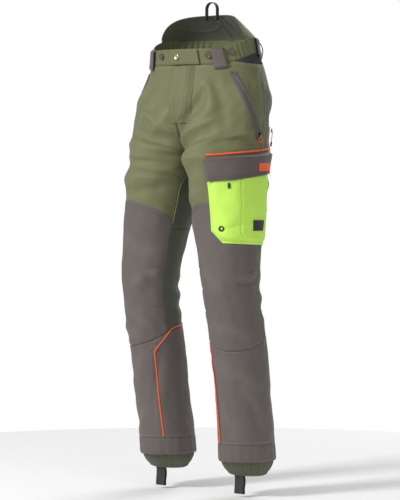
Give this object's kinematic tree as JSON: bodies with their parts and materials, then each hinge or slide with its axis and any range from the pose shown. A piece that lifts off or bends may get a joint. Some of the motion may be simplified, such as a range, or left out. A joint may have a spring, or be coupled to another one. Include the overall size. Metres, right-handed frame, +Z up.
{
  "type": "chainsaw protective trousers",
  "caption": "Protective work trousers in their worn shape, with padded jointed legs, raised kidney panel, cargo pocket, zips and gaiter cuffs.",
  "frame": {"origin": "middle of the waist opening, level with the top of the waistband at the fly", "axes": "+Z up, the wearer faces -Y, +X is the wearer's left"},
  "size_m": [0.4114, 0.2941, 1.2453],
  "materials": {
    "olive": "stiff matt woven cloth",
    "dark_olive": "matt stretch cloth",
    "taupe": "matt hard-wearing woven cloth",
    "neon": "fluorescent yellow-green woven cloth",
    "orange": "fluorescent orange cord and tape",
    "black_webbing": "matt webbing",
    "navy": "matt stretch cloth",
    "pad_white": "layered fibre pad",
    "lining": "mesh lining",
    "black_plastic": "matt",
    "snap_metal": "satin",
    "zip_black": "matt"
  },
  "bodies": {
    "waist": {"waistband": "olive", "waist_snap_stud": "snap_metal", "brace_buttons": "black_plastic", "belt_loops": "taupe", "side_ties": "black_webbing", "kidney_panel": "olive", "kidney_lining": "lining", "hanging_loop": "black_webbing", "stretch_panels": "navy", "yoke_left": "olive", "yoke_right": "olive", "seat_left": "dark_olive", "seat_right": "dark_olive", "seat_lining": "lining", "fly_placket": "olive", "fly_zip": "zip_black", "pocket_welts": "taupe", "pocket_bags": "black_webbing"},
    "waist_tab": {"waist_tab": "olive", "waist_snap_cap": "snap_metal"},
    "fly_slider": {"fly_slider": "snap_metal"},
    "hand_slider_left": {"hand_slider_left": "black_plastic"},
    "hand_slider_right": {"hand_slider_right": "black_plastic"},
    "cargo_flap": {"cargo_flap": "taupe", "flap_label": "orange"},
    "thigh_left": {"hip_cloth_left": "olive", "thigh_front_left": "olive", "thigh_back_left": "dark_olive", "knee_overlay_left": "taupe", "knee_back_left": "dark_olive", "cut_pad_left": "pad_white", "leg_lining_left": "lining", "vent_zip_left": "orange", "cargo_piping": "orange", "cargo_pocket": "neon", "cargo_eyelet": "black_plastic", "cargo_badge": "navy", "flap_root": "taupe"},
    "vent_slider_left": {"vent_slider_left": "black_plastic"},
    "shin_left": {"shin_panel_left": "taupe", "calf_panel_left": "taupe", "shin_piping_left": "orange", "hem_band_left": "taupe", "gaiter_left": "dark_olive"},
    "boot_strap_left": {"boot_strap_left": "black_webbing"},
    "thigh_right": {"hip_cloth_right": "olive", "thigh_front_right": "olive", "thigh_back_right": "dark_olive", "knee_overlay_right": "taupe", "knee_back_right": "dark_olive", "cut_pad_right": "pad_white", "leg_lining_right": "lining", "vent_zip_right": "orange"},
    "vent_slider_right": {"vent_slider_right": "black_plastic"},
    "shin_right": {"shin_panel_right": "taupe", "calf_panel_right": "taupe", "shin_piping_right": "orange", "hem_band_right": "taupe", "gaiter_right": "dark_olive"},
    "boot_strap_right": {"boot_strap_right": "black_webbing"}
  },
  "joints": [
    {"name": "hip_left", "type": "hinge", "parent": "waist", "child": "thigh_left", "pos_m": [0.1, -0.012, -0.2], "axis": [-1, 0, 0], "range_deg": [-15, 50], "deforming": ["hip_cloth_left"]},
    {"name": "knee_left", "type": "hinge", "parent": "thigh_left", "child": "shin_left", "pos_m": [0.133, -0.047, -0.622], "axis": [1, 0, 0], "range_deg": [0, 90], "deforming": ["knee_back_left", "cut_pad_left", "leg_lining_left", "vent_zip_left"]},
    {"name": "boot_strap_swing_left", "type": "hinge", "parent": "shin_left", "child": "boot_strap_left", "pos_m": [0.1303, -0.0129, -1.0685], "axis": [1, 0, 0], "range_deg": [-35, 20]},
    {"name": "hand_zip_left", "type": "slide", "parent": "waist", "child": "hand_slider_left", "axis": [0.0127, -0.4893, 0.872], "range_m": [0, 0.024]},
    {"name": "vent_zip_slide_left", "type": "slide", "parent": "thigh_left", "child": "vent_slider_left", "axis": [0.0725, -0.1819, -0.9806], "range_m": [0, 0.222]},
    {"name": "hip_right", "type": "hinge", "parent": "waist", "child": "thigh_right", "pos_m": [-0.1, -0.012, -0.2], "axis": [-1, 0, 0], "range_deg": [-15, 50], "deforming": ["hip_cloth_right"]},
    {"name": "knee_right", "type": "hinge", "parent": "thigh_right", "child": "shin_right", "pos_m": [-0.133, -0.047, -0.622], "axis": [1, 0, 0], "range_deg": [0, 90], "deforming": ["knee_back_right", "cut_pad_right", "leg_lining_right", "vent_zip_right"]},
    {"name": "boot_strap_swing_right", "type": "hinge", "parent": "shin_right", "child": "boot_strap_right", "pos_m": [-0.1303, -0.0129, -1.0685], "axis": [1, 0, 0], "range_deg": [-35, 20]},
    {"name": "hand_zip_right", "type": "slide", "parent": "waist", "child": "hand_slider_right", "axis": [-0.0127, -0.4893, 0.872], "range_m": [0, 0.024]},
    {"name": "vent_zip_slide_right", "type": "slide", "parent": "thigh_right", "child": "vent_slider_right", "axis": [-0.0725, -0.1819, -0.9806], "range_m": [0, 0.222]},
    {"name": "waist_tab_hinge", "type": "hinge", "parent": "waist", "child": "waist_tab", "pos_m": [0.0591, -0.0967, 0], "axis": [0, 0, 1], "range_deg": [0, 110]},
    {"name": "fly_zip_slide", "type": "slide", "parent": "waist", "child": "fly_slider", "axis": [0, -0.1961, -0.9806], "range_m": [0, 0.03]},
    {"name": "cargo_flap_hinge", "type": "hinge", "parent": "thigh_left", "child": "cargo_flap", "pos_m": [0.1922, -0.0669, -0.2729], "axis": [-0.2526, -0.9676, 0], "range_deg": [0, 100]}
  ]
}
